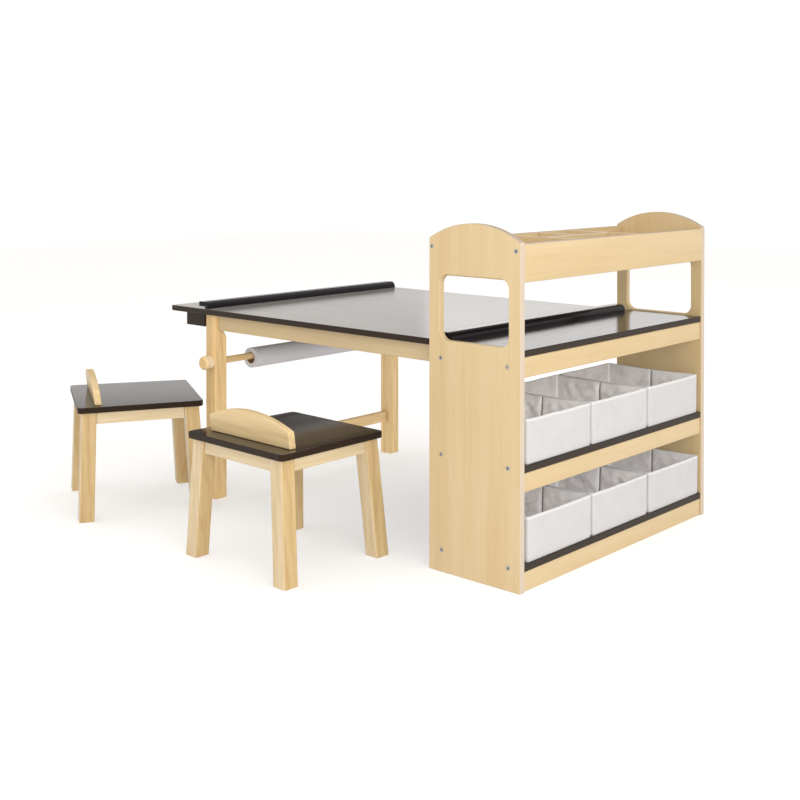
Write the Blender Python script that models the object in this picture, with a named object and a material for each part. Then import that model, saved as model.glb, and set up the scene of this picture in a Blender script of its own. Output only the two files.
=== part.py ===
"""Children's art table with an open shelf unit at one end, six fabric bins and two stools."""
import math

import bmesh
import bpy
from mathutils import Matrix, Vector

# ---------------------------------------------------------------- driving dimensions (metres)
# Plan frame: X runs along the table from its free end to the shelf unit's open front,
# Y runs from the stools' side to the far side, Z is up from the floor.
GAP = 0.0003            # clearance kept between pieces that touch
LENGTH = 1.1938         # free end of the table to the open front of the shelf unit
WIDTH = 0.7874          # over both side panels
HEIGHT = 0.770          # floor to the crown of the side panels
ORIGIN_X = 0.48856      # centre of the whole set's footprint, stools as they stand
ORIGIN_Y = 0.22685

PANEL_T = 0.0155        # side panel thickness
PANEL_BACK = 0.9440     # rear edge of the side panels
BOARD_BACK = 0.9450     # rear edge of the shelves and the rear rail
PANEL_SHOULDER = 0.734  # where the arched head begins
CUT_INSET = 0.0305      # side panel's window, from each edge
CUT_Z0 = 0.511
CUT_Z1 = 0.656
CUT_R = 0.022

TRAY_Z0 = 0.650
TRAY_FRONT_TOP = 0.731
TRAY_BACK_TOP = 0.7295
TRAY_DIVIDER_TOP = 0.7285
TRAY_FRONT_T = 0.016
TRAY_BACK_T = 0.0125
TRAY_FLOOR_T = 0.005
DIVIDER_T = 0.009
DIVIDER_X = 1.070
DIVIDER_YS = (0.266, 0.525)
SHORT_DIVIDER_Y = 0.400

TOP_Z = 0.508           # table top and deck, upper face
TOP_T = 0.0145
SEAM_X = 0.9765         # table top meets the deck under the second paper guide
DECK_FRONT = LENGTH - 0.0020
RAIL_Z0 = 0.450         # deck rails
RAIL_DEPTH = 0.045
SHELF_Z = (0.265, 0.0575)
SHELF_T = 0.015
SHELF_FRONT = LENGTH - 0.0015
SHELF_RAIL_Z0 = 0.209
FRONT_BOARD_T = 0.015
FRONT_SET_BACK = 0.0035

LEG = 0.0392            # table leg section
LEG_X0 = 0.1293
LEG_YS = (0.0300, 0.7182)
APRON_Z0 = 0.4515
APRON_T = 0.018
APRON_INSET = 0.0090
LEG_CHAMFER = 0.015     # flat across the leg's inner corner at apron height
LEG_CHAMFER_Z = 0.431
CUTTER_REACH = 0.03     # how far the cutters run past the leg
OVERHANG_BOX = (0.0530, 0.0255, 0.459)
STRETCHER = (0.1353, 0.1553, 0.099, 0.1285)

DOWEL_Z = 0.3658
DOWEL_X = 0.1498
DOWEL_R = 0.0090
BORE_R = 0.0098
KNOB_R = 0.0180
KNOB_T = 0.0272
KNOB_SOCKET = 0.012
KNOB_EASE = 0.001       # chamfer on the inner rim
KNOB_ROUND = 0.004      # rounding of the outer rim
ROLL_YS = (0.170, 0.627)
ROLL_R = 0.0275
CORE_R = 0.0158
CORE_BORE_R = 0.0144
ROLL_DROP = 0.0051      # the roll hangs on the dowel, below its axis

GUIDE_W = 0.037         # paper guide strips across the table
GUIDE_H = 0.018
GUIDE_SLOT = 0.0055     # height of the paper slot under the strip's rear part
GUIDE_FOOT = 0.013
GUIDE_XS = (0.110, 0.958)
GUIDE_YS = ((0.0230, 0.7640), (0.0185, 0.7300))

BIN_H = 0.0965
BIN_X0 = 0.9262          # the bins reach out past the open back of the shelf unit
BIN_X1 = 1.1898
BIN_WALL = 0.0035
BIN_FLOOR = 0.004
BIN_R = 0.006
BIN_ROWS = (
    (SHELF_Z[0] + GAP, ((0.0300, 0.2736), (0.2785, 0.5165), (0.5225, 0.7590))),
    (SHELF_Z[1] + GAP, ((0.0330, 0.2760), (0.2815, 0.5180), (0.5260, 0.7660))),
)

SEAT_Z = 0.2857
SEAT_T = 0.0147
SEAT_DEPTH = 0.3163
SEAT_W_FRONT = 0.3146
SEAT_W_BACK = 0.3325
SEAT_R = 0.012
STOOL_LEG = 0.038
FOOT_U = {-1: 0.1728, 1: 0.1649}    # outer face of the feet, back and front pair
FOOT_V = {-1: 0.1560, 1: 0.1665}
SPLAY_U = 0.0704                    # lean of the legs, metres per metre of height
SPLAY_V = {-1: 0.0270, 1: 0.0680}   # the front legs rake more than the back ones
STOOL_APRON_H = 0.030
STOOL_APRON_T = 0.015
STOOL_APRON_INSET = 0.005
BACKREST_HALF = 0.1370
BACKREST_U = 0.0060
BACKREST_V = -0.1145    # rear face where it meets the seat
BACKREST_T = 0.0175
BACKREST_END_H = 0.038
BACKREST_CREST = 0.066
BACKREST_LEAN = math.radians(8.0)
STOOLS = (
    ("stool_front", 0.6478, -0.1553, math.radians(-1.6)),
    ("stool_end", 0.0096, -0.1136, math.radians(-29.8)),
)

EDGE = 0.0012           # eased edge of the boards
SOLID_EDGE = 0.0020     # rounder edge of the solid wood pieces


# ---------------------------------------------------------------- materials
def make_material(name, colour, roughness, metallic=0.0):
    mat = bpy.data.materials.new(name)
    mat.use_nodes = True
    shader = mat.node_tree.nodes.get("Principled BSDF")
    shader.inputs["Base Color"].default_value = (*colour, 1.0)
    shader.inputs["Roughness"].default_value = roughness
    shader.inputs["Metallic"].default_value = metallic
    mat.diffuse_color = (*colour, 1.0)
    return mat


def laminate_material(name):
    return make_material(name + "_laminate", (0.78, 0.60, 0.35), 0.45)


def espresso_material(name):
    return make_material(name + "_espresso", (0.045, 0.032, 0.026), 0.38)


def solid_wood_material(name):
    return make_material(name + "_birch", (0.72, 0.52, 0.30), 0.5)


def black_plastic_material(name):
    return make_material(name + "_black", (0.012, 0.011, 0.011), 0.35)


def fabric_material(name):
    return make_material(name + "_fabric", (0.76, 0.74, 0.72), 0.9)


def paper_material(name):
    return make_material(name + "_paper", (0.80, 0.80, 0.82), 0.8)


def cardboard_material(name):
    return make_material(name + "_card", (0.42, 0.30, 0.19), 0.85)


# ---------------------------------------------------------------- geometry helpers
def finish_mesh(name, bm, material, easing=0.0, segments=1):
    """Ease the sharp edges, name the object after its node and give it its material."""
    bmesh.ops.remove_doubles(bm, verts=bm.verts, dist=1e-6)
    bmesh.ops.recalc_face_normals(bm, faces=bm.faces)
    if easing > 0.0:
        sharp = [e for e in bm.edges if e.calc_face_angle(0.0) > math.radians(40)]
        bmesh.ops.bevel(bm, geom=sharp, offset=easing, segments=segments, profile=0.5,
                        affect="EDGES", clamp_overlap=True)
    mesh = bpy.data.meshes.new(name)
    bm.to_mesh(mesh)
    bm.free()
    obj = bpy.data.objects.new(name, mesh)
    bpy.context.scene.collection.objects.link(obj)
    mesh.materials.append(material)
    return obj


def place(bm, to_world):
    for vert in bm.verts:
        vert.co = to_world(vert.co)


def to_set(point):
    """Plan frame to the set's frame."""
    return Vector((point.x - ORIGIN_X, point.y - ORIGIN_Y, point.z))


def box_mesh(x0, x1, y0, y1, z0, z1):
    bm = bmesh.new()
    bmesh.ops.create_cube(bm, size=1.0)
    bmesh.ops.scale(bm, vec=(x1 - x0, y1 - y0, z1 - z0), verts=bm.verts)
    middle = ((x0 + x1) / 2, (y0 + y1) / 2, (z0 + z1) / 2)
    bmesh.ops.translate(bm, vec=middle, verts=bm.verts)
    return bm


def board(name, x0, x1, y0, y1, z0, z1, material, easing=EDGE, segments=1):
    bm = box_mesh(x0, x1, y0, y1, z0, z1)
    place(bm, to_set)
    return finish_mesh(name, bm, material, easing, segments)


def prism_mesh(outline, axis, low, high, hole=None):
    """Extrude a closed outline, with an optional hole, along X or Y."""
    bm = bmesh.new()
    edges = []
    for loop in (outline, hole or []):
        ring = [bm.verts.new(lift(a, b, axis, low)) for a, b in loop]
        for first, second in zip(ring, ring[1:] + ring[:1]):
            edges.append(bm.edges.new((first, second)))
    if hole:
        bmesh.ops.triangle_fill(bm, use_beauty=True, use_dissolve=False, edges=edges)
    else:
        bm.faces.new(bm.verts)
    made = bmesh.ops.extrude_face_region(bm, geom=list(bm.faces))
    moved = [item for item in made["geom"] if isinstance(item, bmesh.types.BMVert)]
    step = Vector((high - low, 0, 0)) if axis == "X" else Vector((0, high - low, 0))
    bmesh.ops.translate(bm, vec=step, verts=moved)
    return bm


def lift(a, b, axis, depth):
    return (depth, a, b) if axis == "X" else (a, depth, b)


def arc(centre, radius, start, end, steps):
    """Points of a circular arc, angles in degrees."""
    points = []
    for i in range(steps + 1):
        angle = math.radians(start + (end - start) * i / steps)
        points.append((centre[0] + radius * math.cos(angle), centre[1] + radius * math.sin(angle)))
    return points


def rounded_rectangle(a0, a1, b0, b1, radius, steps):
    points = []
    points += arc((a1 - radius, b0 + radius), radius, -90, 0, steps)
    points += arc((a1 - radius, b1 - radius), radius, 0, 90, steps)
    points += arc((a0 + radius, b1 - radius), radius, 90, 180, steps)
    points += arc((a0 + radius, b0 + radius), radius, 180, 270, steps)
    return points


def lathe_mesh(profile, x, z, steps):
    """Spin a closed (radius, y) profile about the line parallel to Y through x, z."""
    bm = bmesh.new()
    ring = [bm.verts.new((x + radius, y, z)) for radius, y in profile]
    edges = [bm.edges.new((a, b)) for a, b in zip(ring, ring[1:] + ring[:1])]
    bmesh.ops.spin(bm, geom=ring + edges, cent=(x, 0, z), axis=(0, 1, 0),
                   angle=2 * math.pi, steps=steps, use_merge=True, use_duplicate=False)
    return bm


def rod_mesh(radius, y0, y1, x, z, steps):
    bm = bmesh.new()
    turn = Matrix.Rotation(math.radians(90), 4, "X")
    move = Matrix.Translation((x, (y0 + y1) / 2, z))
    bmesh.ops.create_cone(bm, cap_ends=True, segments=steps, radius1=radius, radius2=radius,
                          depth=y1 - y0, matrix=move @ turn)
    return bm


def cut(obj, cutter_bm, name):
    """Subtract a cutter from an object with an exact Boolean."""
    place(cutter_bm, to_set)
    bmesh.ops.recalc_face_normals(cutter_bm, faces=cutter_bm.faces)
    mesh = bpy.data.meshes.new(name)
    cutter_bm.to_mesh(mesh)
    cutter_bm.free()
    cutter = bpy.data.objects.new(name, mesh)
    bpy.context.scene.collection.objects.link(cutter)
    modifier = obj.modifiers.new(name, "BOOLEAN")
    modifier.operation = "DIFFERENCE"
    modifier.solver = "EXACT"
    modifier.object = cutter
    graph = bpy.context.evaluated_depsgraph_get()
    solid = bpy.data.meshes.new_from_object(obj.evaluated_get(graph))
    obj.modifiers.clear()
    obj.data = solid
    bpy.data.objects.remove(cutter, do_unlink=True)


def set_origin(obj, x, y, z):
    """Move the object's origin onto its joint axis without moving the piece."""
    point = to_set(Vector((x, y, z)))
    obj.data.transform(Matrix.Translation(-point))
    obj.location = point


# ---------------------------------------------------------------- shelf unit
INNER_Y0 = PANEL_T + GAP
INNER_Y1 = WIDTH - PANEL_T - GAP


def side_panel(name, y0):
    rise = HEIGHT - PANEL_SHOULDER
    half = (LENGTH - PANEL_BACK) / 2
    radius = (half * half + rise * rise) / (2 * rise)
    sweep = math.degrees(math.asin(half / radius))
    centre = (PANEL_BACK + half, HEIGHT - radius)
    outline = [(PANEL_BACK, 0.0), (LENGTH, 0.0)]
    outline += arc(centre, radius, 90 - sweep, 90 + sweep, 24)
    window = rounded_rectangle(PANEL_BACK + CUT_INSET, LENGTH - CUT_INSET,
                               CUT_Z0, CUT_Z1, CUT_R, 6)
    bm = prism_mesh(outline, "Y", y0, y0 + PANEL_T, window)
    place(bm, to_set)
    return finish_mesh(name, bm, laminate_material(name), 0.0008)


def tray():
    front_x0 = LENGTH - TRAY_FRONT_T
    back_x1 = PANEL_BACK + TRAY_BACK_T
    wood = laminate_material
    board("tray_front", front_x0, LENGTH - GAP, INNER_Y0, INNER_Y1, TRAY_Z0, TRAY_FRONT_TOP,
          wood("tray_front"), 0.0008)
    board("tray_back", PANEL_BACK + GAP, back_x1, INNER_Y0, INNER_Y1, TRAY_Z0, TRAY_BACK_TOP,
          wood("tray_back"), 0.0008)
    board("tray_floor", back_x1 + GAP, front_x0 - GAP, INNER_Y0, INNER_Y1,
          TRAY_Z0 + 0.002, TRAY_Z0 + 0.002 + TRAY_FLOOR_T, wood("tray_floor"), 0.0004)
    dividers(back_x1, front_x0)


def dividers(back_x1, front_x0):
    """Two dividers across the tray; between them one along it and a short one behind that."""
    z0 = TRAY_Z0 + 0.002 + TRAY_FLOOR_T + GAP
    half = DIVIDER_T / 2
    first_y, second_y = DIVIDER_YS

    def divider(name, x0, x1, y0, y1):
        board(name, x0 + GAP, x1 - GAP, y0, y1, z0, TRAY_DIVIDER_TOP, laminate_material(name), 0.0005)

    for index, y in enumerate(DIVIDER_YS):
        divider("tray_divider_cross_%d" % (index + 1), back_x1, front_x0, y - half, y + half)
    divider("tray_divider_long", DIVIDER_X - half - GAP, DIVIDER_X + half + GAP,
            first_y + half + GAP, second_y - half - GAP)
    divider("tray_divider_short", back_x1, DIVIDER_X - half,
            SHORT_DIVIDER_Y - half, SHORT_DIVIDER_Y + half)


def decks_and_rails():
    under_top = TOP_Z - TOP_T - GAP
    front = LENGTH - FRONT_SET_BACK
    board("deck", SEAM_X + GAP / 2, DECK_FRONT, INNER_Y0, INNER_Y1, TOP_Z - TOP_T, TOP_Z,
          espresso_material("deck"))
    board("deck_rail_front", front - RAIL_DEPTH, front, INNER_Y0, INNER_Y1, RAIL_Z0, under_top,
          laminate_material("deck_rail_front"))
    board("deck_rail_back", BOARD_BACK, BOARD_BACK + RAIL_DEPTH, INNER_Y0, INNER_Y1, RAIL_Z0, under_top,
          laminate_material("deck_rail_back"))
    for name, top in zip(("shelf_upper", "shelf_lower"), SHELF_Z):
        board(name, BOARD_BACK, SHELF_FRONT, INNER_Y0, INNER_Y1, top - SHELF_T, top,
              espresso_material(name))
    board("shelf_rail_front", front - FRONT_BOARD_T, front, INNER_Y0, INNER_Y1,
          SHELF_RAIL_Z0, SHELF_Z[0] - SHELF_T - GAP, laminate_material("shelf_rail_front"))
    board("base_board_front", front - FRONT_BOARD_T, front, INNER_Y0, INNER_Y1,
          0.0, SHELF_Z[1] - SHELF_T - GAP, laminate_material("base_board_front"))


def fabric_bin(name, y0, y1, z0):
    """Open-topped bin: an outer shell with one pocket."""
    outer = rounded_rectangle(BIN_X0, BIN_X1, y0, y1, BIN_R, 3)
    inner = rounded_rectangle(BIN_X0 + BIN_WALL, BIN_X1 - BIN_WALL, y0 + BIN_WALL, y1 - BIN_WALL,
                              BIN_R - BIN_WALL, 3)
    bm = bmesh.new()
    levels = ((outer, z0), (outer, z0 + BIN_H), (inner, z0 + BIN_H), (inner, z0 + BIN_FLOOR))
    rings = [[bm.verts.new((x, y, z)) for x, y in loop] for loop, z in levels]
    count = len(outer)
    for low, high in zip(rings, rings[1:]):
        for i in range(count):
            j = (i + 1) % count
            bm.faces.new((low[i], low[j], high[j], high[i]))
    bm.faces.new(rings[0])
    bm.faces.new(rings[-1])
    place(bm, to_set)
    obj = finish_mesh(name, bm, fabric_material(name))
    set_origin(obj, (BIN_X0 + BIN_X1) / 2, (y0 + y1) / 2, z0)


def bins():
    for row, (z0, spans) in zip(("upper", "lower"), BIN_ROWS):
        for index, (y0, y1) in enumerate(spans):
            fabric_bin("bin_%s_%d" % (row, index + 1), y0, y1, z0)


# ---------------------------------------------------------------- table
def table_top():
    board("table_top", 0.0, SEAM_X - GAP / 2, INNER_Y0, INNER_Y1, TOP_Z - TOP_T, TOP_Z,
          espresso_material("table_top"))
    x0, y0, z0 = OVERHANG_BOX
    board("overhang_box", x0, LEG_X0 - GAP, y0, WIDTH - y0, z0, TOP_Z - TOP_T - GAP,
          espresso_material("overhang_box"), 0.0016, 2)


def paper_guide(name, x0, y0, y1):
    """Strip standing on a foot along its front, leaving a slot for the paper behind it."""
    z0 = TOP_Z + GAP
    z1 = TOP_Z + GUIDE_H
    round_front = 0.014
    round_rear = 0.002
    x1 = x0 + GUIDE_W
    outline = [(x1 - GUIDE_FOOT, z0), (x1, z0)]
    outline += arc((x1 - round_front, z1 - round_front), round_front, 0, 90, 8)
    outline += arc((x0 + round_rear, z1 - round_rear), round_rear, 90, 180, 3)
    outline += [(x0, TOP_Z + GUIDE_SLOT), (x1 - GUIDE_FOOT, TOP_Z + GUIDE_SLOT)]
    bm = prism_mesh(outline, "Y", y0, y1)
    place(bm, to_set)
    finish_mesh(name, bm, black_plastic_material(name))


def leg_corner_cutter(corner_x, corner_y, inner_sign):
    """Wedge that takes a flat off the leg's inner corner, from its pointed lower tip upward."""
    bm = bmesh.new()
    rings = []
    full = LEG_CHAMFER_Z + LEG_CHAMFER
    for z, inset in ((LEG_CHAMFER_Z, 0.0), (full, LEG_CHAMFER), (TOP_Z, LEG_CHAMFER)):
        outer_x = corner_x + CUTTER_REACH
        outer_y = corner_y + inner_sign * CUTTER_REACH
        far_x = corner_x - inset - CUTTER_REACH
        far_y = corner_y - inner_sign * (inset + CUTTER_REACH)
        corners = ((far_x, outer_y, z), (outer_x, far_y, z), (outer_x, outer_y, z))
        rings.append([bm.verts.new(point) for point in corners])
    for low, high in zip(rings, rings[1:]):
        for i in range(3):
            j = (i + 1) % 3
            bm.faces.new((low[i], low[j], high[j], high[i]))
    bm.faces.new(rings[0])
    bm.faces.new(rings[-1])
    return bm


def table_leg(name, y0, inner_sign):
    """Square leg with a flat across its inner corner at apron height and a bore for the dowel."""
    obj = board(name, LEG_X0, LEG_X0 + LEG, y0, y0 + LEG, 0.0, TOP_Z - TOP_T - GAP,
                solid_wood_material(name), SOLID_EDGE, 2)
    corner_y = y0 + LEG if inner_sign > 0 else y0
    cut(obj, leg_corner_cutter(LEG_X0 + LEG, corner_y, inner_sign), name + "_corner_cutter")
    bore = rod_mesh(BORE_R, y0 - CUTTER_REACH, y0 + LEG + CUTTER_REACH, DOWEL_X, DOWEL_Z, 32)
    cut(obj, bore, name + "_bore_cutter")


def table_frame():
    near_y, far_y = LEG_YS
    table_leg("table_leg_near", near_y, 1)
    table_leg("table_leg_far", far_y, -1)
    x0 = LEG_X0 + LEG + GAP
    x1 = BOARD_BACK - GAP
    top = TOP_Z - TOP_T - GAP
    wood = solid_wood_material
    board("apron_near", x0, x1, near_y + APRON_INSET, near_y + APRON_INSET + APRON_T, APRON_Z0, top,
          laminate_material("apron_near"))
    far_face = far_y + LEG - APRON_INSET
    board("apron_far", x0, x1, far_face - APRON_T, far_face, APRON_Z0, top, laminate_material("apron_far"))
    inner0 = near_y + LEG + GAP
    inner1 = far_y - GAP
    board("apron_end", LEG_X0 + 0.005, LEG_X0 + 0.005 + APRON_T, inner0, inner1, APRON_Z0, top,
          laminate_material("apron_end"))
    sx0, sx1, sz0, sz1 = STRETCHER
    board("stretcher", sx0, sx1, inner0, inner1, sz0, sz1, wood("stretcher"), SOLID_EDGE, 2)


def knob(name, y_leg, direction):
    """Turned knob with a rounded outer face and a blind socket for the dowel."""
    y_in = y_leg + direction * GAP
    y_out = y_in + direction * KNOB_T
    socket_y = y_in + direction * KNOB_SOCKET
    socket_r = DOWEL_R + GAP
    profile = [(0.0, socket_y), (socket_r, socket_y), (socket_r, y_in)]
    profile += [(KNOB_R - KNOB_EASE, y_in), (KNOB_R, y_in + direction * KNOB_EASE)]
    for radius, depth in arc((KNOB_R - KNOB_ROUND, -KNOB_ROUND), KNOB_ROUND, 0, 90, 4):
        profile.append((radius, y_out + direction * depth))
    profile.append((0.0, y_out))
    bm = bmesh.new()
    verts = [bm.verts.new((DOWEL_X + radius, y, DOWEL_Z)) for radius, y in profile]
    edges = [bm.edges.new((a, b)) for a, b in zip(verts, verts[1:])]
    bmesh.ops.spin(bm, geom=verts + edges, cent=(DOWEL_X, 0, DOWEL_Z), axis=(0, 1, 0),
                   angle=2 * math.pi, steps=36, use_merge=True, use_duplicate=False)
    place(bm, to_set)
    obj = finish_mesh(name, bm, solid_wood_material(name))
    set_origin(obj, DOWEL_X, y_in, DOWEL_Z)


def roll_holder():
    near_face = LEG_YS[0]
    far_face = LEG_YS[1] + LEG
    knob("knob_near", near_face, -1)
    knob("knob_far", far_face, 1)
    y0 = near_face - KNOB_SOCKET
    y1 = far_face + KNOB_SOCKET
    bm = rod_mesh(DOWEL_R, y0, y1, DOWEL_X, DOWEL_Z, 32)
    place(bm, to_set)
    obj = finish_mesh("roll_dowel", bm, solid_wood_material("roll_dowel"))
    set_origin(obj, DOWEL_X, (y0 + y1) / 2, DOWEL_Z)
    roll_z = DOWEL_Z - ROLL_DROP
    tube("paper_core", CORE_BORE_R, CORE_R, roll_z, 40, cardboard_material("paper_core"))
    tube("paper_roll", CORE_R + GAP, ROLL_R, roll_z, 56, paper_material("paper_roll"))


def tube(name, inner, outer, z, steps, material):
    y0, y1 = ROLL_YS
    bm = lathe_mesh([(inner, y0), (outer, y0), (outer, y1), (inner, y1)], DOWEL_X, z, steps)
    place(bm, to_set)
    obj = finish_mesh(name, bm, material)
    set_origin(obj, DOWEL_X, (y0 + y1) / 2, z)


# ---------------------------------------------------------------- stools
def stool_frame(x, y, yaw):
    """Map from a stool's own frame (u across, v to its front, z up) to the set's frame."""
    def to_world(point):
        u, v, z = point
        wx = x + u * math.cos(yaw) - v * math.sin(yaw)
        wy = y + u * math.sin(yaw) + v * math.cos(yaw)
        return to_set(Vector((wx, wy, z)))
    return to_world


def stool_piece(name, bm, stool, material, easing, segments=1):
    """Place a piece of a stool; its origin stays on the floor under the stool's centre."""
    label, x, y, yaw = stool
    place(bm, stool_frame(x, y, yaw))
    obj = finish_mesh(label + "_" + name, bm, material(label + "_" + name), easing, segments)
    set_origin(obj, x, y, 0.0)


def seat_mesh():
    """Board, slightly wider at the back, with rounded corners."""
    half_f = SEAT_W_FRONT / 2
    half_b = SEAT_W_BACK / 2
    half_d = SEAT_DEPTH / 2
    points = []
    corners = ((half_b, -half_d, -90), (half_f, half_d, 0),
               (-half_f, half_d, 90), (-half_b, -half_d, 180))
    for u, v, start in corners:
        centre = (u - math.copysign(SEAT_R, u), v - math.copysign(SEAT_R, v))
        points += arc(centre, SEAT_R, start, start + 90, 5)
    bm = bmesh.new()
    bm.faces.new([bm.verts.new((u, v, SEAT_Z - SEAT_T)) for u, v in points])
    made = bmesh.ops.extrude_face_region(bm, geom=list(bm.faces))
    moved = [item for item in made["geom"] if isinstance(item, bmesh.types.BMVert)]
    bmesh.ops.translate(bm, vec=(0, 0, SEAT_T), verts=moved)
    return bm


def leg_u(side_v, z):
    """Outer face of a leg across the stool, at height z."""
    return FOOT_U[side_v] - SPLAY_U * z


def leg_v(side_v, z):
    """Outer face of a leg along the stool, at height z."""
    return FOOT_V[side_v] - SPLAY_V[side_v] * z


def stool_leg_mesh(side_u, side_v):
    """Leg of square section that leans in towards the seat both ways."""
    top = SEAT_Z - SEAT_T - GAP
    bm = box_mesh(0.0, 1.0, 0.0, 1.0, 0.0, top)
    for vert in bm.verts:
        across, along, z = vert.co
        u = leg_u(side_v, z) - across * STOOL_LEG
        v = leg_v(side_v, z) - along * STOOL_LEG
        vert.co = Vector((side_u * u, side_v * v, z))
    return bm


def stool_apron_mesh(side, across):
    """Rail under the seat between two legs; its ends follow the legs' lean."""
    top = SEAT_Z - SEAT_T - GAP
    bm = box_mesh(-1.0, 1.0, 0.0, 1.0, top - STOOL_APRON_H, top)
    for vert in bm.verts:
        end = 1 if vert.co.x > 0 else -1
        depth = vert.co.y
        z = vert.co.z
        inward = STOOL_APRON_INSET + depth * STOOL_APRON_T
        if across:
            reach = leg_u(side, z) - STOOL_LEG - GAP
            vert.co = Vector((end * reach, side * (leg_v(side, z) - inward), z))
        else:
            v = leg_v(end, z) - STOOL_LEG - GAP
            middle = (leg_u(-1, z) + leg_u(1, z)) / 2
            slope = (leg_u(1, z) - leg_u(-1, z)) / (FOOT_V[1] + FOOT_V[-1] - STOOL_LEG)
            vert.co = Vector((side * (middle + slope * end * v - inward), end * v, z))
    return bm


def backrest_mesh():
    """Low board with an arched top, leaning back, its foot cut level with the seat."""
    rise = BACKREST_CREST - BACKREST_END_H
    radius = (BACKREST_HALF ** 2 + rise ** 2) / (2 * rise)
    sweep = math.degrees(math.asin(BACKREST_HALF / radius))
    crown = arc((0.0, BACKREST_CREST - radius), radius, 90 - sweep, 90 + sweep, 18)
    outline = [(-BACKREST_HALF, 0.0), (BACKREST_HALF, 0.0)] + crown
    bm = prism_mesh(outline, "Y", BACKREST_V, BACKREST_V + BACKREST_T)
    for vert in bm.verts:
        vert.co.x += BACKREST_U
        vert.co.y -= math.tan(BACKREST_LEAN) * vert.co.z
        vert.co.z += SEAT_Z + GAP
    return bm


def stool(entry):
    sides = ((-1, -1, "back_left"), (1, -1, "back_right"), (-1, 1, "front_left"), (1, 1, "front_right"))
    stool_piece("seat", seat_mesh(), entry, espresso_material, 0.0015, 2)
    stool_piece("backrest", backrest_mesh(), entry, solid_wood_material, 0.0020, 2)
    for side_u, side_v, label in sides:
        leg = stool_leg_mesh(side_u, side_v)
        stool_piece("leg_" + label, leg, entry, solid_wood_material, 0.0025, 2)
    stool_piece("apron_back", stool_apron_mesh(-1, True), entry, laminate_material, 0.001)
    stool_piece("apron_front", stool_apron_mesh(1, True), entry, laminate_material, 0.001)
    stool_piece("apron_left", stool_apron_mesh(-1, False), entry, laminate_material, 0.001)
    stool_piece("apron_right", stool_apron_mesh(1, False), entry, laminate_material, 0.001)


# ---------------------------------------------------------------- the set
def build():
    for obj in list(bpy.data.objects):
        bpy.data.objects.remove(obj, do_unlink=True)
    side_panel("side_panel_near", 0.0)
    side_panel("side_panel_far", WIDTH - PANEL_T)
    tray()
    decks_and_rails()
    bins()
    table_top()
    for name, x0, (y0, y1) in zip(("paper_guide_end", "paper_guide_shelf"), GUIDE_XS, GUIDE_YS):
        paper_guide(name, x0, y0, y1)
    table_frame()
    roll_holder()
    for entry in STOOLS:
        stool(entry)


build()
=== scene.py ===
"""Studio view of a children's art table with its shelf unit, fabric bins and two stools.

Lengths are in metres, in the set's own frame: +X runs along the table towards the shelf unit's
open front, +Y across it away from the stools, +Z up. The solid pieces only get materials here;
the fabric bins, the screw heads and the studio are made below.
"""
import math
from collections import namedtuple

import bmesh
import bpy
from mathutils import Matrix, Vector, noise


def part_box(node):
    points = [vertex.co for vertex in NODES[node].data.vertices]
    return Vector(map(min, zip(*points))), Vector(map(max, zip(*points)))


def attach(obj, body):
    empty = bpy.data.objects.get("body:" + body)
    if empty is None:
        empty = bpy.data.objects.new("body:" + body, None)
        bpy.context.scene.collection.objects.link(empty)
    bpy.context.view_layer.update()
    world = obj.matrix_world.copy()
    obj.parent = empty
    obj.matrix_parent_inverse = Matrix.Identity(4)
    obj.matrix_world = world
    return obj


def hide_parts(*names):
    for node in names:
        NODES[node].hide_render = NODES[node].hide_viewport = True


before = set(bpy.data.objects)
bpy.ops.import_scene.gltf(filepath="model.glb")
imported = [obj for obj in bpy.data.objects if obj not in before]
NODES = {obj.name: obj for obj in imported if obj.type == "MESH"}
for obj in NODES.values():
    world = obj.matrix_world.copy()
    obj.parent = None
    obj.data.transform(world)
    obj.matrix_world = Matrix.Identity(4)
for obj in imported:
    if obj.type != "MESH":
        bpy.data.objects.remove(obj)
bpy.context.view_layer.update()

NOISE_SEED = 7           # without a seed, noise_vector differs from run to run
noise.seed_set(NOISE_SEED)

# ---------------------------------------------------------------- colours (linear)
WHITE = (1.0, 1.0, 1.0)
BLACK = (0.0, 0.0, 0.0)
MAPLE_LIGHT = (0.532, 0.407, 0.234)
MAPLE_DARK = (0.495, 0.367, 0.192)
EDGE_BAND = (0.485, 0.398, 0.302)
TOP_EDGE_SHADE = (0.82, 0.81, 0.81)        # painted shade on the banding of upward edges
DIVIDER_TOP_LIGHT = (1.15, 1.15, 1.18)     # painted light on the banding of the tray's dividers' upward edges
REVEAL = (0.560, 0.425, 0.245)            # cut face inside a panel's window
BIRCH_LIGHT = (0.592, 0.485, 0.318)
BIRCH_DARK = (0.450, 0.318, 0.155)
BIRCH_BACKREST = (0.655, 0.500, 0.275)
BIRCH_KNOT = (0.33, 0.19, 0.09)
LEG_SIDE_SHADE = (0.85, 0.77, 0.61)        # painted shade on a stool leg's faces towards +X and -X
TABLE_BIRCH = (0.770, 0.560, 0.285)
TURNED_SIDE = (0.700, 0.590, 0.430)       # the knobs' round side
ESPRESSO_LIGHT = (0.022, 0.016, 0.013)
ESPRESSO_DARK = (0.013, 0.009, 0.007)
ESPRESSO_EDGE = (0.020, 0.0125, 0.0075)
ESPRESSO_F0 = (0.33, 0.26, 0.22)          # tint of its mirror reflection
SHEEN_TONE = (1.0, 0.97, 0.90)
FABRIC_WHITE = (0.470, 0.462, 0.457)
FABRIC_HEM = (0.545, 0.537, 0.532)
FABRIC_BINDING = (0.760, 0.750, 0.745)
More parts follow.
